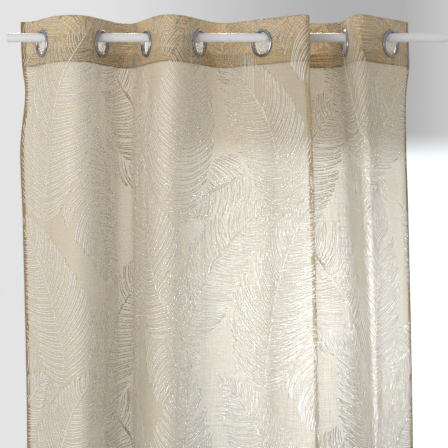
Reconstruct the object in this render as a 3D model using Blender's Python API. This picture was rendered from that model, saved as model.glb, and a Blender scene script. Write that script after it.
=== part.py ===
"""Sheer eyelet curtain, hanging in its folds on a plain white rod.

Metres, +Z up, +X along the rod, -Y towards the room. The origin is the middle of the rod, on its axis.
The cloth weaves through the rod at eight eyelets, so that its folds lie in turn before and behind it.
Each level of the cloth is one plan curve of the same length, worked out from the eyelet stations.
"""
import math

import bmesh
import bpy

MM = 0.001

# Rod
ROD_LENGTH = 900 * MM
ROD_RADIUS = 8.75 * MM
ROD_CHAMFER = 1.0 * MM
ROD_SIDES = 32

# Cloth, as it was cut: eight eyelets at an even pitch
EYELET_PITCH = 180 * MM
EDGE_TO_EYELET = 70 * MM
DROP = 2400 * MM
TOP_ABOVE_ROD = 36 * MM
HEADING_HEIGHT = 88 * MM
HEM_HEIGHT = 80 * MM

# Thickness of the solids
HEADING_THICKNESS = 1.6 * MM
PANEL_THICKNESS = 1.2 * MM
HEM_THICKNESS = 2.4 * MM
GAP = 0.3 * MM

# Eyelet, a ring of two halves snapped together around the heading
EYELET_BORE_RADIUS = 20.5 * MM
EYELET_OUTER_RADIUS = 27 * MM
EYELET_CREST_RADIUS = 23.7 * MM
EYELET_HALF_DEPTH = 4.2 * MM
EYELET_BARREL_RADIUS = 23 * MM
EYELET_SIDES = 24

# Plan curve
FLAT_AT_EYELET = 30 * MM
FLAT_IN_PANEL = 5 * MM
FLAT_FADES_OVER = 160 * MM
FOLD_STEPS = 9
FOLD_SAMPLES = 48
HANDLE_TOLERANCE = 0.001 * MM
EDGE_STEPS = 3

# Depths below the rod's axis at which the station table gives its values
LEVELS = tuple(depth * MM for depth in (52, 150, 350, 800, 1600, 2364))

# One row for each eyelet station, from left to right, with a value for each level:
#   x     place along the rod, in mm
#   turn  angle between the cloth and the rod, in degrees; past 90 the cloth doubles back
#   y     drift of the station in front of (-) or behind (+) the rod, in mm
STATIONS = (
    {"x": (-380, -378, -376, -369, -374, -366), "turn": (60, 58, 56, 54, 57, 52), "y": (0, 1, 2, 5, 8, 4)},
    {"x": (-266, -264, -262, -261, -258, -264), "turn": (66, 70, 72, 73, 66, 70), "y": (0, -1, -2, -4, -3, -8)},
    {"x": (-178, -180, -182, -186, -184, -176), "turn": (68, 71, 73, 75, 70, 66), "y": (0, 1, 3, 4, 0, 5)},
    {"x": (-77, -78, -79, -82, -88, -84), "turn": (62, 60, 58, 56, 60, 64), "y": (0, 1, 2, -3, -6, -2)},
    {"x": (45, 60, 64, 63, 58, 66), "turn": (45, 56, 60, 62, 60, 55), "y": (0, -2, -3, -6, -2, 3)},
    {"x": (130, 134, 140, 150, 146, 140), "turn": (95, 97, 98, 97, 90, 84), "y": (0, 0, 1, 3, 6, 2)},
    {"x": (206, 215, 225, 241, 232, 222), "turn": (81, 80, 79, 78, 74, 76), "y": (0, 0, 0, -3, -7, -4)},
    {"x": (293, 292, 294, 300, 304, 310), "turn": (49, 50, 50, 52, 56, 52), "y": (0, 2, 3, 5, 2, 6)},
)

# One row for each fold between two stations: lean moves its fullness left (-) or right (+)
FOLD_LEANS = (-0.1, 0.0, 0.1, -0.1, -0.2, -0.1, 0.25)

# The two free edges: at each depth in mm, the cloth's angle to the rod at the very edge
LEFT_EDGE = {"depth": (-36, 52, 95, 205, 350, 800, 1600, 2364), "turn": (4, 20, 44, 24, 34, 40, 40, 34)}
RIGHT_EDGE = {"depth": (-36, 52, 95, 205, 350, 800, 1600, 2364), "turn": (70, 62, 72, 66, 60, 52, 50, 56)}

# Levels of the panel's mesh, as depths below the rod's axis
PANEL_LEVELS = (110, 180, 265, 365, 480, 620, 790, 980, 1190, 1410, 1640, 1870, 2090, 2220)


def smooth_value(levels, values, level):
    """Read a table at one level, on a smooth curve through its points."""
    if level <= levels[0]:
        return values[0]
    if level >= levels[-1]:
        return values[-1]
    slopes = [0.0]
    for i in range(1, len(values) - 1):
        slopes.append((values[i + 1] - values[i - 1]) / (levels[i + 1] - levels[i - 1]))
    slopes.append(0.0)
    i = max(k for k in range(len(levels) - 1) if levels[k] <= level)
    span = levels[i + 1] - levels[i]
    t = (level - levels[i]) / span
    start = (1 + 2 * t) * (1 - t) ** 2 * values[i] + t * (1 - t) ** 2 * slopes[i] * span
    end = t * t * (3 - 2 * t) * values[i + 1] + t * t * (t - 1) * slopes[i + 1] * span
    return start + end


def bezier(p0, p1, p2, p3, t):
    """Point on a cubic Bezier curve in plan."""
    u = 1 - t
    weights = (u ** 3, 3 * u * u * t, 3 * u * t * t, t ** 3)
    return tuple(sum(w * p[k] for w, p in zip(weights, (p0, p1, p2, p3))) for k in (0, 1))


def fold_points(start, start_dir, end, end_dir, length, lean):
    """A rounded fold of the given cloth length from one flat to the next, in even steps."""

    def curve(handle):
        p1 = along(start, start_dir, handle * (1 + lean))
        p2 = along(end, end_dir, -handle * (1 - lean))
        return [bezier(start, p1, p2, end, i / FOLD_SAMPLES) for i in range(FOLD_SAMPLES + 1)]

    low, high = 0.0, length
    while high - low > HANDLE_TOLERANCE:
        middle = 0.5 * (low + high)
        points = curve(middle)
        if sum(math.dist(a, b) for a, b in zip(points, points[1:])) < length:
            low = middle
        else:
            high = middle
    return even_points(curve(high), FOLD_STEPS)


def even_points(points, steps):
    """The same path in equal steps."""
    run = [0.0]
    for a, b in zip(points, points[1:]):
        run.append(run[-1] + math.dist(a, b))
    out = []
    k = 0
    for i in range(steps + 1):
        target = run[-1] * i / steps
        while k < len(run) - 2 and run[k + 1] < target:
            k += 1
        f = (target - run[k]) / (run[k + 1] - run[k])
        out.append(tuple(points[k][j] + f * (points[k + 1][j] - points[k][j]) for j in (0, 1)))
    return out


def station_at(index, depth):
    """Place and direction in plan of the cloth at one eyelet station."""
    row = STATIONS[index]
    x = smooth_value(LEVELS, row["x"], depth) * MM
    y = smooth_value(LEVELS, row["y"], depth) * MM
    turn = math.radians(smooth_value(LEVELS, row["turn"], depth))
    side = -1 if index % 2 == 0 else 1
    return (x, y), (math.cos(turn), side * math.sin(turn))


def along(point, direction, distance):
    """A point moved along a direction in plan."""
    return point[0] + direction[0] * distance, point[1] + direction[1] * distance


def free_edge(flat_end, direction, last_turn, length, outward):
    """The last stretch of cloth between an outer eyelet's flat and the free edge, bending evenly."""
    step = length / EDGE_STEPS
    start = math.atan2(direction[1], direction[0])
    end = math.copysign(last_turn, start)
    points = [flat_end]
    for i in range(EDGE_STEPS):
        angle = start + (end - start) * (i + 0.5) / EDGE_STEPS
        heading = (math.cos(angle) * outward, math.sin(angle) * outward)
        points.append(along(points[-1], heading, step))
    return points


def edge_turn(edge, depth):
    """The cloth's angle to the rod at a free edge."""
    return math.radians(smooth_value(edge["depth"], edge["turn"], depth / MM))


def plan_curve(depth):
    """The cloth's path in plan at one depth, from its left edge to its right edge."""
    fade = min(1.0, max(0.0, (depth - LEVELS[0]) / FLAT_FADES_OVER))
    flat = FLAT_AT_EYELET + (FLAT_IN_PANEL - FLAT_AT_EYELET) * fade
    stations = [station_at(i, depth) for i in range(len(STATIONS))]
    left_turn, right_turn = (edge_turn(edge, depth) for edge in (LEFT_EDGE, RIGHT_EDGE))

    point, direction = stations[0]
    left = free_edge(along(point, direction, -flat), direction, left_turn, EDGE_TO_EYELET - flat, -1)
    path = left[::-1]
    for (a, a_dir), (b, b_dir), lean in zip(stations, stations[1:], FOLD_LEANS):
        start = along(a, a_dir, flat)
        end = along(b, b_dir, -flat)
        path += fold_points(start, a_dir, end, b_dir, EYELET_PITCH - 2 * flat, lean)
    point, direction = stations[-1]
    path += free_edge(along(point, direction, flat), direction, right_turn, EDGE_TO_EYELET - flat, 1)
    return path


def material(name, rgb, roughness, metallic=0.0):
    """A plain Principled material."""
    mat = bpy.data.materials.new(name)
    mat.use_nodes = True
    shader = mat.node_tree.nodes["Principled BSDF"]
    shader.inputs["Base Color"].default_value = (*rgb, 1)
    shader.inputs["Roughness"].default_value = roughness
    shader.inputs["Metallic"].default_value = metallic
    return mat


def add_object(name, bm, mat):
    """Turn a bmesh into a named object in the scene."""
    mesh = bpy.data.meshes.new(name)
    bm.to_mesh(mesh)
    bm.free()
    mesh.materials.append(mat)
    obj = bpy.data.objects.new(name, mesh)
    bpy.context.scene.collection.objects.link(obj)
    return obj


def cloth_surface(depths):
    """The cloth's middle surface, a row of faces between each two depths below the rod."""
    bm = bmesh.new()
    rows = [[bm.verts.new((x, y, -depth)) for x, y in plan_curve(depth)] for depth in depths]
    for upper, lower in zip(rows, rows[1:]):
        for i in range(len(upper) - 1):
            bm.faces.new((upper[i], lower[i], lower[i + 1], upper[i + 1]))
    return bm


def thicken(obj, thickness):
    """Give a cloth surface its thickness, half to each side."""
    solid = obj.modifiers.new("thickness", "SOLIDIFY")
    solid.thickness = thickness
    solid.offset = 0
    solid.use_even_offset = True
    return solid


def eyelet_drop(turn):
    """How far an eyelet's centre hangs below the rod's axis when its bore just clears the rod's top."""
    reach = ROD_RADIUS + GAP
    facet = math.cos(math.pi / EYELET_SIDES)
    drops = []
    for radius, off_plane in eyelet_profile():
        for degrees in range(-89, 90):
            angle = math.radians(degrees)
            behind_rod = radius * facet * math.sin(angle) * math.sin(turn) + off_plane * math.cos(turn)
            if abs(behind_rod) < reach:
                rod_top = math.sqrt(reach * reach - behind_rod * behind_rod)
                drops.append(radius * facet * math.cos(angle) - rod_top)
    return min(drops)


def eyelet_pose(index):
    """An eyelet's centre, and the turn about Z that lays its axis square to the cloth."""
    (x, y), direction = station_at(index, 0)
    turn = math.atan2(direction[1], direction[0])
    return (x, y, -eyelet_drop(turn)), turn


def place_on_cloth(obj, index):
    """Stand a ring or cutter made around its own Z axis in an eyelet's place."""
    location, turn = eyelet_pose(index)
    obj.location = location
    obj.rotation_euler = (math.pi / 2, 0, turn)


def eyelet_profile():
    """Half section of a snapped eyelet: radius and distance from the cloth's middle."""
    groove = HEADING_THICKNESS / 2 + GAP
    one_side = (
        (EYELET_BARREL_RADIUS, groove),
        (EYELET_OUTER_RADIUS, groove),
        (EYELET_OUTER_RADIUS - 0.8 * MM, EYELET_HALF_DEPTH - 0.9 * MM),
        (EYELET_CREST_RADIUS, EYELET_HALF_DEPTH),
        (EYELET_BORE_RADIUS + 0.8 * MM, EYELET_HALF_DEPTH - 0.9 * MM),
        (EYELET_BORE_RADIUS, groove),
    )
    return one_side + tuple((r, -z) for r, z in reversed(one_side))


def make_eyelet(index, mat):
    """One eyelet, turned from its half section, with the groove that grips the heading."""
    bm = bmesh.new()
    profile = [bm.verts.new((r, 0, z)) for r, z in eyelet_profile()]
    edges = [bm.edges.new((a, b)) for a, b in zip(profile, profile[1:] + profile[:1])]
    bmesh.ops.spin(bm, geom=profile + edges, cent=(0, 0, 0), axis=(0, 0, 1),
                   angle=2 * math.pi, steps=EYELET_SIDES, use_merge=True)
    bmesh.ops.recalc_face_normals(bm, faces=bm.faces)
    obj = add_object(f"eyelet_{index + 1}", bm, mat)
    obj.data.shade_smooth()
    obj.data.set_sharp_from_angle(angle=math.radians(50))
    place_on_cloth(obj, index)


def make_hole_cutter(index):
    """The round hole of one eyelet, a short distance larger than the eyelet's barrel."""
    bm = bmesh.new()
    radius = EYELET_BARREL_RADIUS + GAP
    bmesh.ops.create_cone(bm, cap_ends=True, segments=EYELET_SIDES, radius1=radius, radius2=radius,
                          depth=4 * HEADING_THICKNESS)
    cutter = add_object(f"hole_cutter_{index + 1}", bm, None)
    cutter.hide_render = True
    cutter.display_type = "WIRE"
    place_on_cloth(cutter, index)
    return cutter


def make_heading(mat):
    """The doubled, stiffened strip along the top, with its eight holes."""
    bottom = HEADING_HEIGHT - TOP_ABOVE_ROD
    obj = add_object("heading", cloth_surface((-TOP_ABOVE_ROD, bottom)), mat)
    thicken(obj, HEADING_THICKNESS)
    for index in range(len(STATIONS)):
        cut = obj.modifiers.new(f"hole {index + 1}", "BOOLEAN")
        cut.operation = "DIFFERENCE"
        cut.solver = "EXACT"
        cut.object = make_hole_cutter(index)


def make_panel(mat):
    """The sheer below the heading, down to its thicker turned hem."""
    top = HEADING_HEIGHT - TOP_ABOVE_ROD + GAP
    bottom = DROP - TOP_ABOVE_ROD
    hem_top = bottom - HEM_HEIGHT
    depths = [top] + [level * MM for level in PANEL_LEVELS] + [hem_top, bottom]
    obj = add_object("panel", cloth_surface(depths), mat)
    columns = len(plan_curve(top))
    hem = obj.vertex_groups.new(name="hem")
    hem.add(list(range((len(depths) - 2) * columns, len(depths) * columns)), 1, "REPLACE")
    solid = thicken(obj, HEM_THICKNESS)
    solid.vertex_group = hem.name
    solid.thickness_vertex_group = PANEL_THICKNESS / HEM_THICKNESS


def make_rod(mat):
    """The plain rod, with its ends eased."""
    bm = bmesh.new()
    bmesh.ops.create_cone(bm, cap_ends=True, segments=ROD_SIDES, radius1=ROD_RADIUS, radius2=ROD_RADIUS,
                          depth=ROD_LENGTH)
    rims = [edge for edge in bm.edges if abs(edge.verts[0].co.z - edge.verts[1].co.z) < ROD_RADIUS]
    bmesh.ops.bevel(bm, geom=rims, offset=ROD_CHAMFER, segments=1, affect="EDGES")
    obj = add_object("rod", bm, mat)
    obj.data.shade_smooth()
    obj.data.set_sharp_from_angle(angle=math.radians(30))
    obj.rotation_euler = (0, math.pi / 2, 0)


def main():
    for obj in list(bpy.data.objects):
        bpy.data.objects.remove(obj, do_unlink=True)
    make_rod(material("white enamelled rod", (0.80, 0.80, 0.80), 0.35))
    make_heading(material("doubled beige sheer", (0.42, 0.33, 0.22), 0.9))
    make_panel(material("beige leaf sheer", (0.56, 0.49, 0.37), 0.9))
    nickel = material("brushed nickel", (0.45, 0.45, 0.46), 0.3, 1.0)
    for index in range(len(STATIONS)):
        make_eyelet(index, nickel)


main()
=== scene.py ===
"""The finished look of a sheer leaf-weave curtain hanging from eight eyelets on a white rod.

Metres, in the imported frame: +X along the rod, -Y towards the room, +Z up, the origin on the rod's axis.
The cloth is first laid out flat, as (across, down), and everything woven or sewn on it is drawn there.
The fold tables then carry each flat point onto the hanging folds.
"""
import math
import random

import bmesh
import bpy
import numpy as np
from mathutils import Matrix, Vector


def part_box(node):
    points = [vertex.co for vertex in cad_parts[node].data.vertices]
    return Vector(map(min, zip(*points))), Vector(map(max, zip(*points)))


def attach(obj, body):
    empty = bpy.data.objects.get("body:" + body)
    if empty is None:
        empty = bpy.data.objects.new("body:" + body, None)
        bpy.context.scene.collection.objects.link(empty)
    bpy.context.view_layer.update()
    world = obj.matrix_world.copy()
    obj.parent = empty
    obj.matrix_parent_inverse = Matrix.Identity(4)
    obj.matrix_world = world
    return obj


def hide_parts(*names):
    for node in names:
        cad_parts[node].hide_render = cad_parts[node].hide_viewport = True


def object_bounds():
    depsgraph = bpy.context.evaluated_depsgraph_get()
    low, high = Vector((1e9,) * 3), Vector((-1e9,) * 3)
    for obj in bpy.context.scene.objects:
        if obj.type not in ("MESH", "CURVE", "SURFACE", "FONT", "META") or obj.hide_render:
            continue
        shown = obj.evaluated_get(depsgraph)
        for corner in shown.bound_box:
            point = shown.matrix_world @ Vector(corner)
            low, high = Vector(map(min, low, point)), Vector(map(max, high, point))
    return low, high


MM = 0.001


def table(columns, *rows):
    """Rows of values under named columns."""
    return [dict(zip(columns.split(), row)) for row in rows]


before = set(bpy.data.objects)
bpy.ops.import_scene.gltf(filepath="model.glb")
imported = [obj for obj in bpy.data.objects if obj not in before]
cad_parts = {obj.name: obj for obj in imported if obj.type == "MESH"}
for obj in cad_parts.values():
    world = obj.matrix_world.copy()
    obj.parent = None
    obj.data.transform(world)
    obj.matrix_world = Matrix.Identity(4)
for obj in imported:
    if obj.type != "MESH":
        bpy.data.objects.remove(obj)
CAD_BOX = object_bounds()

# Places that the frame gives
ROD_LOW, ROD_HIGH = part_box("rod")
HEADING_LOW, HEADING_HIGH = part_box("heading")
PANEL_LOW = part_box("panel")[0]
EYELET_NAMES = [f"eyelet_{number}" for number in range(1, 9)]

# The cloth as it was cut; depths are measured down from the rod's axis
EYELET_PITCH = 180 * MM
EDGE_TO_EYELET = 70 * MM
CLOTH_WIDTH = 2 * EDGE_TO_EYELET + EYELET_PITCH * (len(EYELET_NAMES) - 1)
TOP_FOLD = -round(HEADING_HIGH.z, 3)
HEADING_SEAM = -round(HEADING_LOW.z, 3)
BOTTOM_FOLD = -round(PANEL_LOW.z, 3)
# The flat row where the heading's back layer ends and its turn-in starts
BACK_END = 2 * TOP_FOLD - HEADING_SEAM
HEM_HEIGHT = 80 * MM
SIDE_HEM = 8 * MM
TURN_IN = 26 * MM
SEAM_LAP = 2.5 * MM
CLOTH_THICKNESS = 0.3 * MM
LAYER_GAP = 0.9 * MM
FOLD_ROUND = 1.2 * MM
HOLE_RADIUS = 23.8 * MM
# How finely the panel and the heading are divided, down and across
PANEL_ROWS = 226
PANEL_COLUMN = 8 * MM
HEADING_ROWS = 18
HEADING_COLUMN = 5 * MM

# Plan curve of the folds, the same rule as in the part's solids
FLAT_AT_EYELET = 30 * MM
FLAT_IN_PANEL = 5 * MM
FLAT_FADES_OVER = 160 * MM
LEVELS = tuple(depth * MM for depth in (52, 150, 350, 800, 1600, 2364))

# One row for each eyelet station, with a value for each level: x along the rod in mm, turn between
# cloth and rod in degrees (past 90 the cloth doubles back), and y behind (+) the rod in mm
STATIONS = table(
    "x turn y",
    ((-380, -378, -376, -369, -374, -366), (60, 58, 56, 54, 57, 52), (0, 1, 2, 5, 8, 4)),
    ((-266, -264, -262, -261, -258, -264), (66, 70, 72, 73, 66, 70), (0, -1, -2, -4, -3, -8)),
    ((-178, -180, -182, -186, -184, -176), (68, 71, 73, 75, 70, 66), (0, 1, 3, 4, 0, 5)),
    ((-77, -78, -79, -82, -88, -84), (62, 60, 58, 56, 60, 64), (0, 1, 2, -3, -6, -2)),
    ((45, 60, 64, 63, 58, 66), (45, 56, 60, 62, 60, 55), (0, -2, -3, -6, -2, 3)),
    ((130, 134, 140, 150, 146, 140), (95, 97, 98, 97, 90, 84), (0, 0, 1, 3, 6, 2)),
    ((206, 215, 225, 241, 232, 222), (81, 80, 79, 78, 74, 76), (0, 0, 0, -3, -7, -4)),
    ((293, 292, 294, 300, 304, 310), (49, 50, 50, 52, 56, 52), (0, 2, 3, 5, 2, 6)),
)
# Fullness of each fold between two stations, moved left (-) or right (+)
FOLD_LEANS = (-0.1, 0.0, 0.1, -0.1, -0.2, -0.1, 0.25)
# The free edges, the left one first: at each depth in mm, the cloth's angle to the rod at the very edge
EDGE_LEVELS = (-36, 52, 95, 205, 350, 800, 1600, 2364)
EDGE_TURNS = ((4, 20, 44, 24, 34, 40, 40, 34), (70, 62, 72, 66, 60, 52, 50, 56))

# Soft creases in the hanging cloth, in mm: where across it they start, how far they wander sideways,
# from which depth to which, how high they stand (+ towards the room) and how wide they are
CREASES = table(
    "across wander top bottom height width",
    (34, 10, 60, 900, 2.6, 11),
    (96, -14, 55, 700, -2.2, 13),
    (150, 18, 70, 1500, 2.4, 17),
    (262, -10, 56, 1100, 2.0, 12),
    (318, 12, 60, 1900, -2.4, 14),
    (372, 6, 90, 1300, 2.6, 12),
    (447, -16, 58, 800, -2.0, 15),
    (520, 14, 66, 2100, 2.6, 16),
    (640, -22, 60, 1200, 3.0, 19),
    (705, 20, 120, 2200, -3.0, 22),
    (812, -8, 56, 1000, 2.0, 12),
    (884, 16, 70, 1800, 2.6, 15),
    (948, -12, 60, 900, -2.2, 12),
    (1052, 10, 64, 1500, 2.4, 14),
    (1108, -14, 80, 2000, -2.4, 16),
    (1204, 12, 56, 1100, 2.2, 13),
    (1296, -10, 60, 1700, -2.6, 15),
    (1364, 8, 70, 1000, 2.4, 10),
)

# The woven design, one repeat of it: the middle of each leaf in mm across and down, the way it points
# in degrees right of straight up, its length and width in mm, and how far its rib bends in degrees
REPEAT_WIDTH = 700 * MM
REPEAT_HEIGHT = 660 * MM
LEAVES = table(
    "across down aim length width bend",
    (404, 236, 98, 301, 121, -30),
    (640, 300, -112, 272, 111, 26),
    (176, 640, 62, 301, 127, 30),
    (226, 345, 156, 398, 167, -34),
    (540, 622, 160, 378, 162, 24),
    (330, 92, -40, 407, 172, -32),
    (655, 436, 38, 388, 162, 28),
    (78, 486, -28, 427, 187, -30),
    (310, 560, 30, 417, 178, 34),
    (112, 150, 21, 446, 197, 36),
    (562, 158, 12, 456, 202, -34),
    (452, 392, -24, 427, 183, 30),
)
VEIN_STEP_ON_RIB = 6.8 * MM
VEIN_RADIUS = 1.35 * MM
YARN_FLATNESS = 0.3
VEIN_SLANT = 0.66
RIB_HALF_GAP = 2.4 * MM
SPLIT_REACH = 0.06
LEAF_MARGIN = 4.5 * MM
VEIN_SAMPLE = 2 * MM
VEIN_STEP = 8 * MM
YARN_LIFT = 0.35 * MM
# Share of the vein pairs left open at the margin, and how far out along a vein a split's foot lies
LOOSE_PAIRS = 0.18
SPLIT_FOOT = 0.3
# Depth in metres where each piece of the weave ends, the heading's first
WEAVE_LIMITS = (HEADING_SEAM, 0.45, 0.95, 1.4, 1.85, 3.0)

# Radii of the snap-on eyelets
EYELET_BORE = 20.5 * MM
EYELET_RIM = 27 * MM

# Machine stitches, and the loose thread ends at the side edges
STITCH = {"Pitch": 3.2 * MM, "Length": 1.25 * MM, "Radius": 0.28 * MM}
LOOSE_END = {"Pitch": 1.6 * MM, "Length": 4.5 * MM, "Radius": 0.22 * MM, "Seed": 5}

# The floor: how far below the hem, and half its width, in metres
FLOOR_DROP = 12 * MM
FLOOR_HALF = 6.0

# How bright the daylight behind the cloth is, with the rest of the surround at 1, and how much of the
# surround's light is left on the right
DAYLIGHT = 1.5
RIGHT_SHADE = 0.56

# The camera stands level, a little below the rod, square to the curtain
CAMERA_PLACE = (-0.029, -3.1, -0.360)
CAMERA_VIEW = math.radians(15.9)


# -------------------- the hanging folds

def smooth_value(levels, values, level):
    """Read a table at one level, on a smooth curve through its points."""
    if level <= levels[0]:
        return values[0]
    if level >= levels[-1]:
        return values[-1]
    slopes = [0.0]
    for i in range(1, len(values) - 1):
        slopes.append((values[i + 1] - values[i - 1]) / (levels[i + 1] - levels[i - 1]))
    slopes.append(0.0)
    i = max(k for k in range(len(levels) - 1) if levels[k] <= level)
    span = levels[i + 1] - levels[i]
    t = (level - levels[i]) / span
    start = (1 + 2 * t) * (1 - t) ** 2 * values[i] + t * (1 - t) ** 2 * slopes[i] * span
    end = t * t * (3 - 2 * t) * values[i + 1] + t * t * (t - 1) * slopes[i + 1] * span
    return start + end


def run_lengths(points):
    """Distance along a path at each of its points."""
    steps = np.linalg.norm(np.diff(points, axis=0), axis=1)
    return np.concatenate(([0.0], np.cumsum(steps)))


def fold_path(start, start_dir, end, end_dir, length, lean):
    """A rounded fold of the given cloth length from one flat to the next."""
    t = np.linspace(0, 1, 49)[:, None]
    low, high = 0.0, length
    # Halve the range of the handles' length until the fold holds as much cloth as it should
    for _ in range(20):
        handle = 0.5 * (low + high)
        p1 = start + start_dir * handle * (1 + lean)
        p2 = end - end_dir * handle * (1 - lean)
        points = (1 - t) ** 3 * start + 3 * t * (1 - t) ** 2 * p1 + 3 * t * t * (1 - t) * p2 + t ** 3 * end
        if run_lengths(points)[-1] < length:
            low = handle
        else:
            high = handle
    return points


def free_edge(flat_end, direction, last_turn, length, way):
    """The last stretch of cloth out to a free edge, bending evenly; way is -1 for left, 1 for right."""
    steps = 8
    start = math.atan2(direction[1], direction[0])
    end = math.copysign(last_turn, start)
    points = [flat_end]
    for i in range(steps):
        angle = start + (end - start) * (i + 0.5) / steps
        move = np.array((math.cos(angle), math.sin(angle))) * way * length / steps
        points.append(points[-1] + move)
    return np.array(points)


def station_at(index, depth):
    """Place and direction in plan of the cloth at one eyelet station."""
    row = STATIONS[index]
    x, y = (smooth_value(LEVELS, row[key], depth) * MM for key in ("x", "y"))
    turn = math.radians(smooth_value(LEVELS, row["turn"], depth))
    side = -1 if index % 2 == 0 else 1
    return np.array((x, y)), np.array((math.cos(turn), side * math.sin(turn)))


def plan_curve(depth):
    """The cloth's path in plan at one depth, from its left edge to its right edge."""
    fade = min(1.0, max(0.0, (depth - LEVELS[0]) / FLAT_FADES_OVER))
    flat = FLAT_AT_EYELET + (FLAT_IN_PANEL - FLAT_AT_EYELET) * fade
    stations = [station_at(i, depth) for i in range(len(STATIONS))]
    turns = [math.radians(smooth_value(EDGE_LEVELS, row, depth / MM)) for row in EDGE_TURNS]
    point, direction = stations[0]
    path = [free_edge(point - direction * flat, direction, turns[0], EDGE_TO_EYELET - flat, -1)[::-1]]
    for (a, a_dir), (b, b_dir), lean in zip(stations, stations[1:], FOLD_LEANS):
        ends = (a + a_dir * flat, a_dir, b - b_dir * flat, b_dir)
        path.append(fold_path(*ends, EYELET_PITCH - 2 * flat, lean))
    point, direction = stations[-1]
    path.append(free_edge(point + direction * flat, direction, turns[1], EDGE_TO_EYELET - flat, 1))
    return np.concatenate(path)


GRID_ACROSS = np.linspace(0, CLOTH_WIDTH, 701)
GRID_DOWN = np.linspace(TOP_FOLD, BOTTOM_FOLD, 321)


def outward(place):
    """Unit normals of a grid of places, towards the room on a flat cloth."""
    normal = np.cross(np.gradient(place, axis=0), np.gradient(place, axis=1))
    return normal / np.linalg.norm(normal, axis=2, keepdims=True)


def crease_height(across, down):
    """How far the soft creases lift the cloth at flat points."""
    height = np.zeros(np.broadcast(across, down).shape)
    for row in CREASES:
        t = np.clip((down / MM - row["top"]) / (row["bottom"] - row["top"]), 0, 1)
        middle = row["across"] + row["wander"] * np.sin(2.6 * t)
        swell = np.sin(math.pi * np.sqrt(t)) ** 0.8
        height += row["height"] * MM * swell * np.exp(-((across / MM - middle) / row["width"]) ** 2)
    return height


def hang_cloth():
    """Places and normals of the hanging cloth on a fine flat grid."""
    rows = []
    for depth in GRID_DOWN:
        path = plan_curve(depth)
        run = run_lengths(path)
        run *= CLOTH_WIDTH / run[-1]
        plan = [np.interp(GRID_ACROSS, run, path[:, k]) for k in (0, 1)]
        rows.append(np.stack([*plan, np.full(len(GRID_ACROSS), -depth)], axis=1))
    place = np.array(rows)
    height = crease_height(GRID_ACROSS[None, :], GRID_DOWN[:, None])
    place += outward(place) * height[..., None]
    return place, outward(place)


PLACE, NORMAL = hang_cloth()


def read_grid(grid, across, down):
    """Values of a grid between its points."""
    columns = across / CLOTH_WIDTH * (len(GRID_ACROSS) - 1)
    rows = (down - TOP_FOLD) / (BOTTOM_FOLD - TOP_FOLD) * (len(GRID_DOWN) - 1)
    i = np.clip(rows.astype(int), 0, len(GRID_DOWN) - 2)
    j = np.clip(columns.astype(int), 0, len(GRID_ACROSS) - 2)
    v, w = (rows - i)[..., None], (columns - j)[..., None]
    upper = grid[i, j] * (1 - w) + grid[i, j + 1] * w
    lower = grid[i + 1, j] * (1 - w) + grid[i + 1, j + 1] * w
    return upper * (1 - v) + lower * v


def carry(across, down, lift):
    """Flat points carried onto the folds. Past an edge of the sheet they lie on its turned-back layer,
    and the end of the heading's back layer is turned in once more, between the layers."""
    over = (TOP_FOLD - down, down - BOTTOM_FOLD, -across, across - CLOTH_WIDTH)
    behind = sum(np.clip(part / FOLD_ROUND, 0, 1) for part in over) * LAYER_GAP
    face = np.where(np.any([part > 0 for part in over], axis=0), -1, 1)
    turned_in = over[0] - (HEADING_SEAM - TOP_FOLD)
    behind -= 0.5 * LAYER_GAP * np.clip(turned_in / FOLD_ROUND, 0, 1)
    fold_back = HEADING_SEAM - np.abs(turned_in)
    level = np.where(over[0] > 0, fold_back, np.where(over[1] > 0, BOTTOM_FOLD - over[1], down))
    along = np.where(over[2] > 0, over[2], np.where(over[3] > 0, CLOTH_WIDTH - over[3], across))
    normal = read_grid(NORMAL, along, level)
    return read_grid(PLACE, along, level) + normal * (lift * face - behind)[..., None]


# -------------------- the woven leaves, laid out flat

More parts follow.
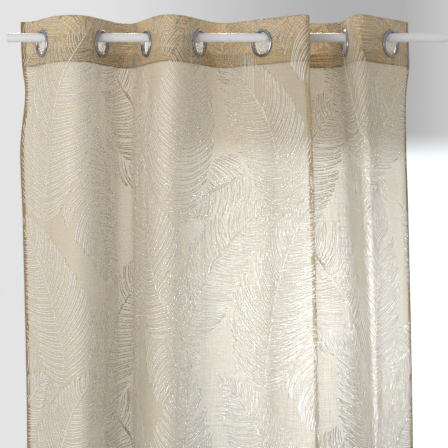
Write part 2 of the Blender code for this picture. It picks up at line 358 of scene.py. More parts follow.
class Leaf:
    """One leaf of the design: a bent rib, side veins that sweep to the tip, and splits between them."""

    samples = np.linspace(0, 1, 81)

    def __init__(self, row, shift, seed):
        self.rng = random.Random(seed)
        self.length = row["length"] * MM
        self.width = row["width"] * MM
        aim = math.radians(row["aim"]) + math.radians(row["bend"]) * (self.samples - 0.5)
        heading = np.stack([np.sin(aim), -np.cos(aim)], axis=1)
        rib = np.cumsum(heading, axis=0) * self.length / len(self.samples)
        self.rib = rib - rib[len(rib) // 2] + np.array((row["across"], row["down"])) * MM + shift
        self.sideways = np.stack([-heading[:, 1], heading[:, 0]], axis=1)
        # Broadest at two fifths of its length, then drawn out to a point
        t = self.samples
        self.half_width = 0.5 * self.width * np.sin(math.pi * t ** 0.72) ** (0.65 + 0.45 * t)
        self.splits = {side: self.choose_splits() for side in (-1, 1)}
        self.outline = np.concatenate([self.margin(1), self.at(1.0, 0)[None], self.margin(-1)[::-1]])
        self.low, self.high = self.outline.min(0), self.outline.max(0)

    def choose_splits(self):
        """Where one side of the leaf is torn: the root on the rib, and half the gap at the margin."""
        splits = []
        root = self.rng.uniform(0.1, 0.3)
        while root < 0.82:
            splits.append((root, self.rng.uniform(3, 11) * MM / self.length))
            root += self.rng.uniform(0.14, 0.34)
        return splits

    def at(self, t, out):
        """Points at shares t of the rib's length, a distance out to one side of it."""
        t = np.asarray(t, float)
        rib, sideways = (
            np.stack([np.interp(t, self.samples, part[:, k]) for k in (0, 1)], axis=-1)
            for part in (self.rib, self.sideways)
        )
        return rib + sideways * np.asarray(out, float)[..., None]

    def vein_end(self, root, side):
        """How far along the rib the outer end of a vein lies, as a share, pushed off the splits."""
        sweep = VEIN_SLANT * 0.5 * self.width / self.length * math.sin(math.pi * root ** 0.6) ** 0.75
        push = sum(math.copysign(gap, root - split) * math.exp(-abs(root - split) / SPLIT_REACH)
                   for split, gap in self.splits[side])
        return min(0.998, root + sweep + push)

    def vein(self, root, side, share=1.0):
        """One side vein as a line from the rib towards the margin, up to a share of its way."""
        end = self.vein_end(root, side)
        reach = np.interp(end, self.samples, self.half_width)
        run = reach + (end - root) * self.length
        k = np.linspace(0, share, max(4, int(share * run * 0.8 / VEIN_SAMPLE)))
        along = root + (end - root) * (0.45 * k + 0.55 * k * k)
        gap = RIB_HALF_GAP * (1 - root)
        return self.at(along, side * (gap + (reach - gap) * (1.25 * k - 0.25 * k * k)))

    def margin(self, side):
        """The leaf's edge on one side, from its foot to its tip, with the splits cut in."""
        roots = [0.012 * i for i in range(82)]
        for split, _ in self.splits[side]:
            roots += [split - 1e-4, split, split + 1e-4]
        points = []
        for root in sorted(roots):
            end = self.vein_end(root, side)
            torn = any(split == root for split, _ in self.splits[side])
            reach = np.interp(end, self.samples, self.half_width) + LEAF_MARGIN
            points.append(self.vein(root, side, SPLIT_FOOT)[-1] if torn else self.at(end, side * reach))
        return np.array(points)

    def holds(self, points):
        """Which of the points lie inside the leaf's outline."""
        inside = np.zeros(len(points), bool)
        near = np.flatnonzero(np.all((points >= self.low) & (points <= self.high), axis=1))
        x, y = points[near].T
        hits = np.zeros(len(near), bool)
        for (ax, ay), (bx, by) in zip(self.outline, np.roll(self.outline, -1, axis=0)):
            if ay != by:
                hits ^= ((ay > y) != (by > y)) & (x < (bx - ax) * (y - ay) / (by - ay) + ax)
        inside[near] = hits
        return inside

    def meets(self, low, high):
        """Whether the leaf's bounds reach into those between two corners."""
        return bool(np.all(self.low < high) and np.all(self.high > low))

    def lines(self):
        """Every line woven in the leaf: the double rib, then the side veins, most of them joined in pairs
        at the margin and the rest stopping short of it."""
        rng = self.rng
        step = VEIN_STEP_ON_RIB / self.length
        t = np.linspace(0, 0.985, int(self.length / VEIN_SAMPLE))
        for side in (-1, 1):
            yield self.at(t, RIB_HALF_GAP * (1 - t) * side)
            roots = []
            root = 0.02 + step * rng.random()
            while root < 0.94:
                roots.append(root)
                root += step * (0.8 if len(roots) % 2 else 1.3) * rng.uniform(0.8, 1.2)
            for first, second in zip(roots[::2], roots[1::2]):
                torn = any(first < split < second for split, _ in self.splits[side])
                if torn or rng.random() < LOOSE_PAIRS:
                    yield self.vein(first, side, rng.uniform(0.93, 1.0))
                    yield self.vein(second, side, rng.uniform(0.72, 1.0))
                    continue
                one, two = self.vein(first, side, 0.985), self.vein(second, side, 0.985)
                turn = 0.5 * (one[-1] + two[-1]) + 0.45 * (one[-1] - one[-3] + two[-1] - two[-3])
                yield np.concatenate([one, [turn], two[::-1]])


def all_leaves():
    """The leaves of every repeat that touches the cloth, the lowest in the weave first."""
    leaves = []
    cloth = ((0, BACK_END), (CLOTH_WIDTH, BOTTOM_FOLD))
    for order, row in enumerate(LEAVES):
        for column in range(-1, 3):
            half_drop = 0.5 * REPEAT_HEIGHT * (column % 2)
            for number in range(-2, 5):
                shift = np.array((column * REPEAT_WIDTH, number * REPEAT_HEIGHT + half_drop))
                leaf = Leaf(row, shift, order)
                if leaf.meets(*cloth):
                    leaves.append(leaf)
    return leaves


def clipped_lines(leaves):
    """The woven lines as runs of flat points, cut where another leaf lies over them or the cloth ends."""
    side = SIDE_HEM * 0.4
    for number, leaf in enumerate(leaves):
        above = [other for other in leaves[number + 1:] if other.meets(leaf.low, leaf.high)]
        lines = list(leaf.lines())
        points = np.concatenate(lines)
        shown = (points[:, 0] > side) & (points[:, 0] < CLOTH_WIDTH - side)
        shown &= (points[:, 1] > BACK_END + 2 * MM) & (points[:, 1] < BOTTOM_FOLD - MM)
        for other in above:
            shown &= ~other.holds(points)
        start = 0
        for line in lines:
            keep = shown[start:start + len(line)]
            start += len(line)
            edges = np.flatnonzero(np.diff(np.concatenate(([0], keep.astype(int), [0]))))
            for a, b in zip(edges[::2], edges[1::2]):
                if b - a >= 3:
                    count = max(2, 1 + round((b - a) * VEIN_SAMPLE / VEIN_STEP))
                    yield line[np.round(np.linspace(a, b - 1, count)).astype(int)]


# -------------------- node helpers and materials

def add_node(tree, kind, inputs=None, **settings):
    """Add a node with its settings. Each input is a value, or an output to link, or a node, which stands
    for its first output."""
    made = tree.nodes.new(kind)
    for key, value in settings.items():
        setattr(made, key, value)
    for key, value in (inputs or {}).items():
        if isinstance(value, bpy.types.Node):
            value = value.outputs[0]
        if isinstance(value, bpy.types.NodeSocket):
            tree.links.new(value, made.inputs[key])
        else:
            made.inputs[key].default_value = value
    return made


def srgb(code):
    """An sRGB hex colour as linear red, green, blue and alpha."""
    parts = [int(code[i:i + 2], 16) / 255 for i in (1, 3, 5)]
    return (*[c / 12.92 if c <= 0.04045 else ((c + 0.055) / 1.055) ** 2.4 for c in parts], 1.0)


def new_material(name):
    """An empty node material and its tree."""
    mat = bpy.data.materials.new(name)
    mat.use_nodes = True
    mat.node_tree.nodes.clear()
    return mat, mat.node_tree


def voile(name, ground, edge, see_through):
    """Polyester voile, woven from fine slubby thread. Its open weave shows what is behind it, less so at
    the selvedges and where the cloth turns edge on."""
    mat, tree = new_material(name)
    flat = add_node(tree, "ShaderNodeUVMap", uv_map="flat").outputs["UV"]
    selvedge = add_node(tree, "ShaderNodeAttribute", attribute_name="selvedge").outputs["Fac"]
    # Slubs: thicker stretches of thread, about 60 mm long and 2 mm wide, one set each way
    slubs = []
    for size in ((500.0, 16.0, 1.0), (16.0, 500.0, 1.0)):
        scaled = add_node(tree, "ShaderNodeMapping", {"Vector": flat, "Scale": size})
        slubs.append(add_node(tree, "ShaderNodeTexNoise", {"Vector": scaled, "Scale": 1.0, "Detail": 2.0}))
    slub = add_node(tree, "ShaderNodeMath", {0: slubs[0], 1: slubs[1]}, operation="ADD")
    # Thread spacing is 0.3 mm; it is drawn at 1.6 mm, because the real one is too fine to show
    weave = add_node(tree, "ShaderNodeMapping", {"Vector": flat, "Scale": (625.0, 625.0, 1.0)})
    threads = add_node(tree, "ShaderNodeTexChecker", {"Vector": weave, "Scale": 1.0})
    shade = add_node(tree, "ShaderNodeMapRange", {"Value": slub, 1: 0.75, 2: 1.25, 3: 0.88, 4: 1.1})
    colour = add_node(tree, "ShaderNodeMix", {0: selvedge, 6: srgb(ground), 7: srgb(edge)},
                      data_type="RGBA")
    toned = add_node(tree, "ShaderNodeVectorMath", {0: colour.outputs[2], 1: shade}, operation="MULTIPLY")
    # Open share of the weave, and how much of it is left when the sight line slants through the threads
    open_share = add_node(tree, "ShaderNodeMapRange", {
        "Value": selvedge, 3: see_through, 4: 0.7 * see_through})
    uneven = add_node(tree, "ShaderNodeMapRange", {"Value": slub, 1: 0.75, 2: 1.25, 3: 1.12, 4: 0.88})
    open_here = add_node(tree, "ShaderNodeMath", {0: open_share, 1: uneven}, operation="MULTIPLY")
    facing = add_node(tree, "ShaderNodeLayerWeight", {"Blend": 0.5}).outputs["Facing"]
    steep = add_node(tree, "ShaderNodeMath", {0: facing, 1: 2.0}, operation="POWER")
    slant = add_node(tree, "ShaderNodeMapRange", {"Value": steep, 1: 0.0, 2: 0.85, 3: 1.0, 4: 2.0})
    seen = add_node(tree, "ShaderNodeMath", {0: open_here, 1: slant}, operation="POWER")
    bump = add_node(tree, "ShaderNodeBump", {
        "Strength": 0.2, "Distance": 0.0003, "Height": threads.outputs["Fac"]})
    rough = add_node(tree, "ShaderNodeBump", {
        "Strength": 0.3, "Distance": 0.0005, "Height": slub, "Normal": bump})
    thread = add_node(tree, "ShaderNodeBsdfPrincipled", {
        "Base Color": toned, "Roughness": 0.85, "Sheen Weight": 0.15, "Sheen Roughness": 0.5,
        "Normal": rough})
    glow = add_node(tree, "ShaderNodeBsdfTranslucent", {"Color": toned, "Normal": rough})
    cloth = add_node(tree, "ShaderNodeMixShader", {0: 0.36, 1: thread, 2: glow})
    clear = add_node(tree, "ShaderNodeBsdfTransparent", {"Color": srgb("#fefcf8")})
    mixed = add_node(tree, "ShaderNodeMixShader", {0: seen, 1: cloth, 2: clear})
    add_node(tree, "ShaderNodeOutputMaterial", {"Surface": mixed})
    return mat


def yarn(name, colour, light_colour, through, clear_share):
    """Soft spun polyester yarn: matt, a little uneven in tone, and loose enough for some light to pass
    between its fibres."""
    mat, tree = new_material(name)
    place = add_node(tree, "ShaderNodeTexCoord").outputs["Object"]
    # Twist and lint along the yarn, about 1.5 mm long
    lint = add_node(tree, "ShaderNodeTexNoise", {"Vector": place, "Scale": 650.0, "Detail": 2.0})
    tone = add_node(tree, "ShaderNodeMapRange", {"Value": lint, 1: 0.3, 2: 0.7})
    mixed = add_node(tree, "ShaderNodeMix", {0: tone, 6: srgb(colour), 7: srgb(light_colour)},
                     data_type="RGBA")
    bump = add_node(tree, "ShaderNodeBump", {"Strength": 0.4, "Distance": 0.0002, "Height": lint})
    body = add_node(tree, "ShaderNodeBsdfPrincipled", {
        "Base Color": mixed.outputs[2], "Roughness": 0.8, "Sheen Weight": 0.2, "Normal": bump})
    glow = add_node(tree, "ShaderNodeBsdfTranslucent", {"Color": mixed.outputs[2]})
    both = add_node(tree, "ShaderNodeMixShader", {0: through, 1: body, 2: glow})
    clear = add_node(tree, "ShaderNodeBsdfTransparent")
    loose = add_node(tree, "ShaderNodeMixShader", {0: clear_share, 1: both, 2: clear})
    add_node(tree, "ShaderNodeOutputMaterial", {"Surface": loose})
    return mat


def brushed_nickel():
    """Nickel-plated steel, brushed and lacquered: a soft shine, broken up by fine marks."""
    mat, tree = new_material("brushed nickel")
    place = add_node(tree, "ShaderNodeTexCoord").outputs["Object"]
    # Brush marks 0.1 mm wide, drawn about 1 mm wide, because the real ones are too fine to show
    marks = add_node(tree, "ShaderNodeTexNoise", {
        "Vector": place, "Scale": 900.0, "Detail": 4.0, "Roughness": 0.7})
    tarnish = add_node(tree, "ShaderNodeTexNoise", {"Vector": place, "Scale": 60.0, "Detail": 2.0})
    rough = add_node(tree, "ShaderNodeMapRange", {"Value": marks, 1: 0.3, 2: 0.7, 3: 0.16, 4: 0.28})
    tone = add_node(tree, "ShaderNodeMix", {0: tarnish, 6: srgb("#8b8d92"), 7: srgb("#a5a6aa")},
                    data_type="RGBA")
    bump = add_node(tree, "ShaderNodeBump", {"Strength": 0.15, "Distance": 0.0001, "Height": marks})
    metal = add_node(tree, "ShaderNodeBsdfPrincipled", {
        "Base Color": tone.outputs[2], "Metallic": 1.0, "Roughness": rough, "Normal": bump})
    add_node(tree, "ShaderNodeOutputMaterial", {"Surface": metal})
    return mat


def white_enamel():
    """Powder-coated steel tube: satin white, with a faint orange-peel skin."""
    mat, tree = new_material("white powder coat")
    place = add_node(tree, "ShaderNodeTexCoord").outputs["Object"]
    # Orange peel, about 1.2 mm from crest to crest
    peel = add_node(tree, "ShaderNodeTexNoise", {"Vector": place, "Scale": 800.0, "Detail": 1.0})
    dust = add_node(tree, "ShaderNodeTexNoise", {"Vector": place, "Scale": 35.0, "Detail": 4.0})
    tone = add_node(tree, "ShaderNodeMix", {0: dust, 6: srgb("#d2d2d5"), 7: srgb("#dadadc")},
                    data_type="RGBA")
    bump = add_node(tree, "ShaderNodeBump", {"Strength": 0.12, "Distance": 0.0001, "Height": peel})
    coat = add_node(tree, "ShaderNodeBsdfPrincipled", {
        "Base Color": tone.outputs[2], "Roughness": 0.38, "Coat Weight": 0.2, "Coat Roughness": 0.25,
        "Normal": bump})
    add_node(tree, "ShaderNodeOutputMaterial", {"Surface": coat})
    return mat


def plain_floor():
    """Matt pale studio floor with a barely uneven tone."""
    mat, tree = new_material("pale studio floor")
    place = add_node(tree, "ShaderNodeTexCoord").outputs["Object"]
    cloud = add_node(tree, "ShaderNodeTexNoise", {"Vector": place, "Scale": 1.5})
    tone = add_node(tree, "ShaderNodeMix", {0: cloud, 6: srgb("#dcdbd8"), 7: srgb("#e4e3e0")},
                    data_type="RGBA")
    matt = add_node(tree, "ShaderNodeBsdfPrincipled", {"Base Color": tone.outputs[2], "Roughness": 0.8})
    add_node(tree, "ShaderNodeOutputMaterial", {"Surface": matt})
    return mat


# -------------------- meshes

def add_object(name, data):
    """An object in the scene, at the origin."""
    obj = bpy.data.objects.new(name, data)
    bpy.context.scene.collection.objects.link(obj)
    return obj


def add_mesh(name, vertices, faces, mat, edges=()):
    """A mesh object from its points, faces and loose edges."""
    mesh = bpy.data.meshes.new(name)
    mesh.from_pydata(vertices, edges, faces)
    mesh.materials.append(mat)
    return add_object(name, mesh)


def set_attribute(obj, name, kind, values):
    """Keep a number (FLOAT) or a direction (FLOAT_VECTOR) for each point of a mesh."""
    attribute = obj.data.attributes.new(name, kind, "POINT")
    attribute.data.foreach_set("value" if kind == "FLOAT" else "vector", np.ravel(values))


def apply_modifiers(obj):
    """Replace an object's mesh with what its modifiers make of it."""
    seen = obj.evaluated_get(bpy.context.evaluated_depsgraph_get())
    made = bpy.data.meshes.new_from_object(seen)
    obj.modifiers.clear()
    obj.data = made


def finish_piece(obj, slot, *replaced):
    """Hang a piece on the root body, and hide the solids that it stands for; its finish (slot) is not
    used.
    """
    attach(obj, "root")
    if replaced:
        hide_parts(*replaced)
    return obj


def cut_holes(across, down, centres):
    """Faces to leave out of a flat grid, and its points moved onto the holes' rims."""
    rows, columns = across.shape
    keep = np.ones((rows - 1, columns - 1), bool)
    for centre in centres:
        dx, dy = across - centre[0], down - centre[1]
        distance = np.hypot(dx, dy)
        inside = distance < HOLE_RADIUS
        touched = inside[:-1, :-1] | inside[1:, :-1] | inside[:-1, 1:] | inside[1:, 1:]
        all_in = inside[:-1, :-1] & inside[1:, :-1] & inside[:-1, 1:] & inside[1:, 1:]
        keep &= ~all_in
        rim = np.zeros_like(inside)
        part = touched & ~all_in
        for i, j in ((0, 0), (1, 0), (0, 1), (1, 1)):
            rim[i:rows - 1 + i, j:columns - 1 + j] |= part
        moved = rim & inside
        across[moved] = centre[0] + dx[moved] / distance[moved] * HOLE_RADIUS
        down[moved] = centre[1] + dy[moved] / distance[moved] * HOLE_RADIUS
    return keep


def cloth_piece(name, acrosses, downs, lift, mat, centres=()):
    """A closed thin sheet over the given flat columns and rows, carried onto the folds."""
    across, down = np.meshgrid(acrosses, downs)
    keep = cut_holes(across, down, centres)
    points = carry(across, down, np.full(across.shape, lift))
    rows, columns = across.shape
    corner = np.arange(rows * columns).reshape(rows, columns)
    quads = np.stack([corner[:-1, :-1], corner[1:, :-1], corner[1:, 1:], corner[:-1, 1:]], axis=-1)[keep]
    used = np.unique(quads)
    renumber = np.zeros(rows * columns, int)
    renumber[used] = np.arange(len(used))
    flat = np.stack([across, down], axis=-1).reshape(-1, 2)[used]
    obj = add_mesh(name, points.reshape(-1, 3)[used].tolist(), renumber[quads].tolist(), mat)
    layer = obj.data.uv_layers.new(name="flat")
    corners = np.zeros(len(obj.data.loops), int)
    obj.data.loops.foreach_get("vertex_index", corners)
    layer.data.foreach_set("uv", flat[corners].ravel())
    edge = np.minimum(flat[:, 0], CLOTH_WIDTH - flat[:, 0])
    set_attribute(obj, "selvedge", "FLOAT", np.clip(1.5 - edge / SIDE_HEM, 0, 1))
    solid = obj.modifiers.new("thickness", "SOLIDIFY")
    solid.thickness = CLOTH_THICKNESS
    solid.offset = 0
    apply_modifiers(obj)
    obj.data.shade_smooth()
    return obj


def cloth_columns(step):
    """Flat positions across the cloth, its two side hems turned behind it."""
    hem = np.array([-SIDE_HEM, -FOLD_ROUND, -0.5 * FOLD_ROUND, 0, 0.5 * SIDE_HEM, SIDE_HEM])
    count = round((CLOTH_WIDTH - 2 * SIDE_HEM) / step)
    inner = np.linspace(SIDE_HEM, CLOTH_WIDTH - SIDE_HEM, count + 1)[1:-1]
    return np.concatenate([hem, inner, CLOTH_WIDTH - hem[::-1]])


def make_panel(mat):
    """The hanging sheer from the heading's seam down, with its bottom hem turned up behind it."""
    rows = np.linspace(HEADING_SEAM - SEAM_LAP, BOTTOM_FOLD, PANEL_ROWS)
    hem = BOTTOM_FOLD + np.array([0.5 * FOLD_ROUND, FOLD_ROUND, *np.linspace(8 * MM, HEM_HEIGHT, 8)])
    return cloth_piece("panel_sheer", cloth_columns(PANEL_COLUMN), np.concatenate([rows, hem]), 0, mat)


def make_heading(mat, centres):
    """The top of the cloth, folded over to the back and cut for the eyelets."""
    height = HEADING_SEAM - TOP_FOLD
    bend = (0.5 * FOLD_ROUND, FOLD_ROUND)
    front = np.linspace(HEADING_SEAM, TOP_FOLD, HEADING_ROWS + 1)
    back = TOP_FOLD - np.array([*bend, *np.linspace(height / HEADING_ROWS, height, HEADING_ROWS)])
    inside = TOP_FOLD - height - np.array([*bend, *np.linspace(0.2, 1, 5) * TURN_IN])
    rows = np.concatenate([front, back, inside])[::-1]
    both = [(x, z) for x, z in centres] + [(x, 2 * TOP_FOLD - z) for x, z in centres]
    return cloth_piece("heading_sheer", cloth_columns(HEADING_COLUMN), rows, 0.5 * LAYER_GAP, mat, both)


def lathe(name, profile, turn_to, mat, steps, closed):
    """A shape turned about its own Z axis from (radius, height) points, then laid in its place."""
    bm = bmesh.new()
    ring = [bm.verts.new((r, 0, z)) for r, z in profile]
    edges = [bm.edges.new(pair) for pair in zip(ring, ring[1:] + ring[:1] if closed else ring[1:])]
    bmesh.ops.spin(bm, geom=ring + edges, cent=(0, 0, 0), axis=(0, 0, 1), angle=2 * math.pi, steps=steps,
                   use_merge=True)
    bmesh.ops.remove_doubles(bm, verts=bm.verts, dist=1e-6)
    bmesh.ops.recalc_face_normals(bm, faces=bm.faces)
    bm.transform(turn_to)
    mesh = bpy.data.meshes.new(name)
    bm.to_mesh(mesh)
    bm.free()
    mesh.materials.append(mat)
    mesh.shade_smooth()
    return add_object(name, mesh)


def make_rod(mat):
    """The rod, with its ends rolled in."""
    radius = 0.5 * (ROD_HIGH.z - ROD_LOW.z)
    half = 0.5 * (ROD_HIGH.x - ROD_LOW.x)
    ease = 1.6 * MM
    corner = [(radius - ease + ease * math.cos(a), half - ease + ease * math.sin(a))
              for a in np.linspace(0, math.pi / 2, 6)]
    end = corner + [(radius * 0.55, half), (0, half)]
    straight = [(radius, z) for z in np.linspace(-half + 2 * ease, half - 2 * ease, 15)]
    profile = [(r, -z) for r, z in reversed(end)] + straight + end
    middle = 0.5 * (ROD_LOW + ROD_HIGH)
    turn = Matrix.Translation(middle) @ Matrix.Rotation(math.pi / 2, 4, "Y")
    return lathe("rod_tube", profile, turn, mat, steps=48, closed=False)


def eyelet_centres():
    """Each eyelet's centre from its solid's box, and its turn from the fold table."""
    centres = []
    for index, name in enumerate(EYELET_NAMES):
        low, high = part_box(name)
        direction = station_at(index, 0)[1]
        centres.append((0.5 * (low + high), math.atan2(direction[1], direction[0])))
    return centres


def make_eyelets(mat):
    """Two domed halves for each eyelet, each with its barrel, snapped together through the heading."""
    bore, rim = EYELET_BORE, EYELET_RIM
    face = 0.5 * LAYER_GAP + CLOTH_THICKNESS
    profile = ((rim, face), (rim, 1.5 * MM), (rim - 0.3 * MM, 2.5 * MM), (rim - 1.1 * MM, 3.4 * MM),
               (rim - 2.2 * MM, 3.95 * MM), (rim - 3.3 * MM, 4.15 * MM), (bore + 2.0 * MM, 3.95 * MM),
               (bore + 0.9 * MM, 3.3 * MM), (bore + 0.25 * MM, 2.4 * MM), (bore, 1.3 * MM),
               (bore, 0.06 * MM), (bore + 1.6 * MM, 0.06 * MM), (bore + 1.6 * MM, face))
    made = []
    for name, (centre, turn) in zip(EYELET_NAMES, eyelet_centres()):
        for half, flip in (("front", 0), ("back", math.pi)):
            place = (Matrix.Translation(centre) @ Matrix.Rotation(turn, 4, "Z")
                     @ Matrix.Rotation(math.pi / 2 + flip, 4, "X"))
            piece = lathe(f"{name}_{half}", profile, place, mat, steps=56, closed=True)
            made.append(finish_piece(piece, "eyelet", *([name] if half == "front" else [])))
    return made


# -------------------- what repeats, by geometry nodes

def node_group(name, **inputs):
    """A geometry tree with named inputs; returns the tree, its input node and its output node."""
    tree = bpy.data.node_groups.new(name, "GeometryNodeTree")
    tree.interface.new_socket("Geometry", in_out="INPUT", socket_type="NodeSocketGeometry")
    for label, kind in inputs.items():
        tree.interface.new_socket(label, in_out="INPUT", socket_type=f"NodeSocket{kind}")
    tree.interface.new_socket("Geometry", in_out="OUTPUT", socket_type="NodeSocketGeometry")
    return tree, tree.nodes.new("NodeGroupInput"), tree.nodes.new("NodeGroupOutput")


def end_group(tree, geometry, source, target):
    """Make a tree's instances real, give them its material, and pass them out."""
    real = add_node(tree, "GeometryNodeRealizeInstances", {"Geometry": geometry})
    painted = add_node(tree, "GeometryNodeSetMaterial", {
        "Geometry": real, "Material": source.outputs["Material"]})
    tree.links.new(painted.outputs[0], target.inputs[0])
    return tree


def run_group(obj, tree, values):
    """Run a geometry tree on an object with the given inputs, and keep the mesh it makes."""
    modifier = obj.modifiers.new(tree.name, "NODES")
    modifier.node_group = tree
    sockets = {item.name: item.identifier for item in tree.interface.items_tree if item.in_out == "INPUT"}
    for label, value in values.items():
        modifier[sockets[label]] = value
    apply_modifiers(obj)


def yarn_group():
    """Turns lines of edges into low ridges of yarn on the cloth, as thick as the girth attribute says."""
    tree, source, target = node_group("woven yarn", Radius="Float", Material="Material")
    girth = add_node(tree, "GeometryNodeInputNamedAttribute", {"Name": "girth"}, data_type="FLOAT")
    up = add_node(tree, "GeometryNodeInputNamedAttribute", {"Name": "up"}, data_type="FLOAT_VECTOR")
    curve = add_node(tree, "GeometryNodeMeshToCurve", {"Mesh": source.outputs["Geometry"]})
    turned = add_node(tree, "GeometryNodeSetCurveNormal", {"Curve": curve, "Normal": up}, mode="FREE")
    section = add_node(tree, "GeometryNodeCurvePrimitiveCircle", {
        "Resolution": 3, "Radius": source.outputs["Radius"]})
    low = add_node(tree, "GeometryNodeTransform", {
        "Geometry": section, "Scale": (YARN_FLATNESS, 1, 1), "Rotation": (0, 0, math.pi)})
    ridge = add_node(tree, "GeometryNodeCurveToMesh", {
        "Curve": turned, "Profile Curve": low, "Scale": girth, "Fill Caps": True})
    return end_group(tree, ridge, source, target)


def row_group(name, **extra):
    """The start of a tree that sets small pieces at an even pitch along lines of edges: the tree, its
    two ends, the places along the lines, and the size of one piece."""
    tree, source, target = node_group(
        name, Pitch="Float", Length="Float", Radius="Float", **extra, Material="Material")
    curve = add_node(tree, "GeometryNodeMeshToCurve", {"Mesh": source.outputs["Geometry"]})
    points = add_node(tree, "GeometryNodeCurveToPoints", {
        "Curve": curve, "Length": source.outputs["Pitch"]}, mode="LENGTH")
    size = add_node(tree, "ShaderNodeCombineXYZ", {
        0: source.outputs["Radius"], 1: source.outputs["Radius"], 2: source.outputs["Length"]})
    return tree, source, target, points, size


def chain(start, count):
    """The edges that join a run of points one after another."""
    return [(start + i, start + i + 1) for i in range(count - 1)]


def make_veins(leaves, mat, heading_mat):
    """The raised ivory lines of the leaves: one piece for the heading, then five down the sheer."""
    groups = [[] for _ in WEAVE_LIMITS]
    for run in clipped_lines(leaves):
        middle = run[len(run) // 2, 1]
        groups[next(i for i, limit in enumerate(WEAVE_LIMITS) if middle < limit)].append(run)
    tree = yarn_group()
    made = []
    for number, runs in enumerate(groups):
        flat = np.concatenate(runs)
        lift = np.where(flat[:, 1] < HEADING_SEAM, 0.5 * LAYER_GAP + YARN_LIFT, YARN_LIFT)
        points = carry(flat[:, 0], flat[:, 1], lift)
        edges, girth, start = [], [], 0
        for run in runs:
            edges += chain(start, len(run))
            start += len(run)
            share = np.linspace(0, 1, len(run))
            girth.append(0.55 + 0.45 * np.sin(math.pi * share) ** 0.5)
        obj = add_mesh(f"leaf_weave_{number}", points.tolist(), [], mat, edges)
        set_attribute(obj, "girth", "FLOAT", np.concatenate(girth))
        set_attribute(obj, "up", "FLOAT_VECTOR", (carry(flat[:, 0], flat[:, 1], lift + MM) - points) / MM)
        run_group(obj, tree, {"Radius": VEIN_RADIUS, "Material": mat if number else heading_mat})
        made.append(finish_piece(obj, "sheer" if number else "heading"))
    return made


def stitch_group():
    """Lays short stitches at an even pitch along lines of edges, turned along the line."""
    tree, source, target, points, size = row_group("stitch row")
    bead = add_node(tree, "GeometryNodeMeshIcoSphere", {"Radius": 1.0, "Subdivisions": 1})
    turn = add_node(tree, "FunctionNodeAlignRotationToVector", {"Vector": points.outputs["Tangent"]},
                    axis="Z")
    laid = add_node(tree, "GeometryNodeInstanceOnPoints", {
        "Points": points, "Instance": bead, "Rotation": turn, "Scale": size})
    smooth = add_node(tree, "GeometryNodeSetShadeSmooth", {"Geometry": laid})
    return end_group(tree, smooth, source, target)


def sewn_lines():
    """Flat end points of each sewn line: heading seam, bottom hem, and both side hems."""
    inset = 4 * MM
    seam = HEADING_SEAM - 1.5 * MM
    hem_top = BOTTOM_FOLD - HEM_HEIGHT + 2 * MM
    side = SIDE_HEM * 0.8
    top, foot = HEADING_SEAM + inset, BOTTOM_FOLD - 3 * MM
    level = [((inset, row), (CLOTH_WIDTH - inset, row)) for row in (seam, hem_top)]
    return level + [((column, top), (column, foot)) for column in (side, CLOTH_WIDTH - side)]


def make_stitches(mat):
    """The machine stitches, as one piece."""
    points, edges = [], []
    for (x0, y0), (x1, y1) in sewn_lines():
        count = int(math.hypot(x1 - x0, y1 - y0) / (4 * MM))
        across, down = np.linspace(x0, x1, count), np.linspace(y0, y1, count)
        lift = np.where(down < HEADING_SEAM, 0.5 * LAYER_GAP, 0) + CLOTH_THICKNESS * 0.6
        start = len(points)
        points += carry(across, down, lift).tolist()
        edges += chain(start, count)
    obj = add_mesh("hem_stitches", points, [], mat, edges)
    run_group(obj, stitch_group(), {**STITCH, "Material": mat})
    return finish_piece(obj, "heading")


def fringe_group():
    """Sets short loose threads along lines of edges, leaning and curling at random."""
    tree, source, target, points, size = row_group("selvedge fringe", Seed="Int")
    thread = add_node(tree, "GeometryNodeMeshCone", {
        "Vertices": 3, "Side Segments": 3, "Radius Top": 0.25, "Radius Bottom": 1.0, "Depth": 1.0})
    straight = add_node(tree, "GeometryNodeInputNamedAttribute", {"Name": "outward"},
                        data_type="FLOAT_VECTOR")
    sway = add_node(tree, "FunctionNodeRandomValue", {
        0: (-0.5, -0.5, -0.7), 1: (0.5, 0.5, 0.7), "Seed": source.outputs["Seed"]},
        data_type="FLOAT_VECTOR")
    way = add_node(tree, "ShaderNodeVectorMath", {0: straight, 1: sway}, operation="ADD")
    turn = add_node(tree, "FunctionNodeAlignRotationToVector", {"Vector": way}, axis="Z")
    stretch = add_node(tree, "FunctionNodeRandomValue", {
        2: 0.35, 3: 1.0, "Seed": source.outputs["Seed"]}, data_type="FLOAT")
    scaled = add_node(tree, "ShaderNodeVectorMath", {0: size, "Scale": stretch.outputs[1]},
                      operation="SCALE")
    laid = add_node(tree, "GeometryNodeInstanceOnPoints", {
        "Points": points, "Instance": thread, "Rotation": turn, "Scale": scaled})
    return end_group(tree, laid, source, target)


def make_fringe(mat):
    """The loose thread ends that stand out of both side edges, as one piece."""
    points, edges, ways = [], [], []
    down = np.arange(HEADING_SEAM + 30 * MM, BOTTOM_FOLD - 10 * MM, 6 * MM)
    flush = np.zeros(len(down))
    for edge, inner in ((0.0, 4 * MM), (CLOTH_WIDTH, CLOTH_WIDTH - 4 * MM)):
        rim = carry(flush + edge, down, flush)
        way = rim - carry(flush + inner, down, flush)
        start = len(points)
        points += rim.tolist()
        ways.append(way / np.linalg.norm(way, axis=1, keepdims=True))
        edges += chain(start, len(down))
    obj = add_mesh("side_fringe", points, [], mat, edges)
    set_attribute(obj, "outward", "FLOAT_VECTOR", np.concatenate(ways))
    run_group(obj, fringe_group(), {**LOOSE_END, "Material": mat})
    return finish_piece(obj, "sheer")


# -------------------- stage, light and camera

def make_floor():
    """A wide pale floor just below the hem."""
    level = CAD_BOX[0][2] - FLOOR_DROP
    corners = [(x * FLOOR_HALF, y * FLOOR_HALF, level) for x, y in ((-1, -1), (1, -1), (1, 1), (-1, 1))]
    floor = add_mesh("floor", corners, [(0, 1, 2, 3)], plain_floor())


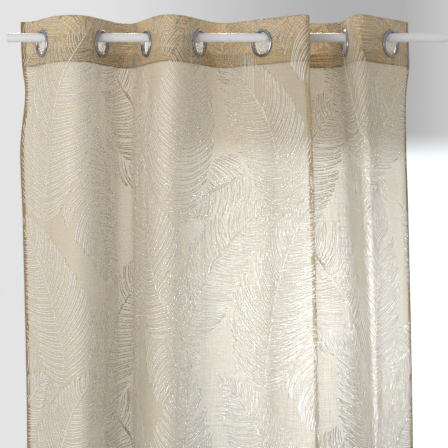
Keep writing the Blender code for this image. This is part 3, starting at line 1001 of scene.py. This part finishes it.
def make_world():
    """A pale surround, dimmer to the right, with daylight behind the cloth's lower right."""
    world = bpy.data.worlds.new("pale surround")
    world.use_nodes = True
    tree = world.node_tree
    tree.nodes.clear()
    direction = add_node(tree, "ShaderNodeTexCoord").outputs["Generated"]
    part = add_node(tree, "ShaderNodeSeparateXYZ", {0: direction})
    ramps = []
    for axis, start, end in ((0, -0.04, -0.014), (1, 0.9, 0.95), (2, 0.058, 0.034)):
        ramps.append(add_node(tree, "ShaderNodeMapRange", {"Value": part.outputs[axis], 1: start, 2: end},
                              interpolation_type="SMOOTHSTEP"))
    corner = add_node(tree, "ShaderNodeMath", {0: ramps[0], 1: ramps[2]}, operation="MULTIPLY")
    behind = add_node(tree, "ShaderNodeMath", {0: corner, 1: ramps[1]}, operation="MULTIPLY")
    shade = add_node(tree, "ShaderNodeMapRange", {
        "Value": part.outputs["X"], 1: -0.1, 2: 0.08, 3: 1.0, 4: RIGHT_SHADE},
        interpolation_type="SMOOTHSTEP")
    open_wall = add_node(tree, "ShaderNodeMapRange", {
        "Value": part.outputs["X"], 1: 0.11, 2: 0.14, 3: 0.0, 4: 0.2})
    wall = add_node(tree, "ShaderNodeMath", {0: shade, 1: open_wall})
    strength = add_node(tree, "ShaderNodeMapRange", {"Value": behind, 3: wall, 4: DAYLIGHT})
    colour = add_node(tree, "ShaderNodeMix", {0: behind, 6: srgb("#e4e4e4"), 7: srgb("#dbe4ea")},
                      data_type="RGBA")
    surround = add_node(tree, "ShaderNodeBackground", {"Color": colour.outputs[2], "Strength": strength})
    add_node(tree, "ShaderNodeOutputWorld", {"Surface": surround})
    bpy.context.scene.world = world


def add_light(name, place, aim, size, power, colour, spread=180):
    """A soft square lamp that the camera doesn't see; its spread is in degrees."""
    lamp = bpy.data.lights.new(name, "AREA")
    lamp.size = size
    lamp.energy = power
    lamp.color = srgb(colour)[:3]
    lamp.spread = math.radians(spread)
    obj = add_object(name, lamp)
    obj.location = place
    obj.rotation_euler = (Vector(aim) - Vector(place)).to_track_quat("-Z", "Y").to_euler()
    obj.visible_camera = False


def make_camera():
    """The camera, with plain colours that no film look changes."""
    bpy.context.scene.view_settings.view_transform = "Standard"
    data = bpy.data.cameras.new("camera")
    data.sensor_width = 36
    data.angle = CAMERA_VIEW
    camera = add_object("camera", data)
    camera.location = CAMERA_PLACE
    camera.rotation_euler = (math.pi / 2, 0, 0)
    bpy.context.scene.camera = camera


def main():
    """Stage and light, then the cloth with all that is woven, sewn and snapped onto it, and the rod."""
    make_camera()
    make_world()
    make_floor()
    add_light("front", (-1.8, -1.9, -0.4), (-0.1, 0, -0.5), size=1.3, power=35, colour="#ffffff")
    add_light("low right", (0.6, -2.2, -0.9), (0.2, 0, -0.56), size=0.4, power=1.25, colour="#e4ecff",
              spread=16)
    add_light("daylight", (0.15, 0.7, -0.6), (0.15, 0, -0.55), size=0.7, power=0.5, colour="#b9d2ff")
    add_light("room behind", (-0.1, 0.9, 0.3), (-0.1, 0, -0.05), size=1.0, power=6.0, colour="#ffedd2",
              spread=80)

    leaves = all_leaves()
    sheer = voile("leaf voile", "#bdb196", "#a98f62", see_through=0.64)
    # The heading is the same voile as the panel, given a lighter ground: painted light that lifts the
    # shade in its deep back folds.
    doubled = voile("heading voile", "#d0c09f", "#ab9061", see_through=0.63)
    ivory = yarn("ivory weave yarn", "#f8f5ec", "#fefdf8", through=0.15, clear_share=0.14)
    # The same ivory yarn, darker and more open on the heading: a shaded copy, painted shade on the
    # heading's lines.
    heading_ivory_shaded = yarn("ivory weave yarn in the doubled heading", "#ede5d3", "#f8f2e5", through=0.2,
                      clear_share=0.26)
    thread = yarn("sewing thread", "#9c8558", "#b39c70", through=0.35, clear_share=0.0)
    nickel = brushed_nickel()

    veins = make_veins(leaves, ivory, heading_ivory_shaded)
    stitches = make_stitches(thread)
    fringe = make_fringe(thread)
    centres = [(EDGE_TO_EYELET + EYELET_PITCH * i, -centre.z)
               for i, (centre, _) in enumerate(eyelet_centres())]
    eyelets = make_eyelets(nickel)
    heading = finish_piece(make_heading(doubled, centres), "heading", "heading")
    panel = finish_piece(make_panel(sheer), "sheer", "panel")
    rod = finish_piece(make_rod(white_enamel()), "rod", "rod")
    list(veins[1:])


main()
